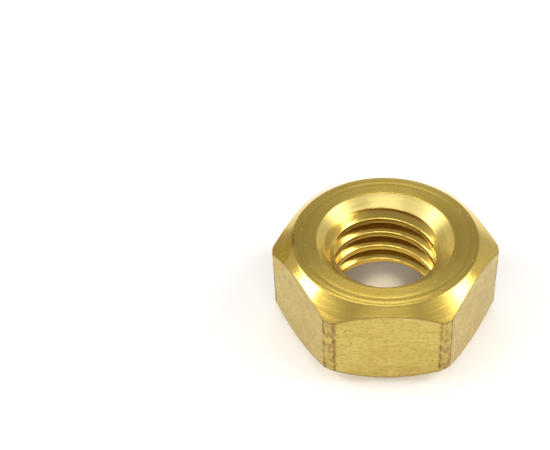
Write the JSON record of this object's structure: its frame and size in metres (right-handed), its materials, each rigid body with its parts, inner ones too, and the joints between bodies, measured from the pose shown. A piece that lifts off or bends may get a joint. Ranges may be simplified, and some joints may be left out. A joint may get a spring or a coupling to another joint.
{
  "type": "hex nut",
  "caption": "Hexagon full nut in brass with chamfered ends, countersunk mouths and a right-hand metric thread.",
  "frame": {"origin": "centre of the lower bearing face, on the thread's axis", "axes": "+Z along the thread from the lower bearing face to the upper one; corners of the hexagon on the X axis; flats face +Y and -Y"},
  "size_m": [0.0146, 0.013, 0.0065],
  "materials": {
    "brass": "satin turned and drawn brass"
  },
  "bodies": {
    "root": {"hex_nut": "brass"}
  },
  "joints": []
}
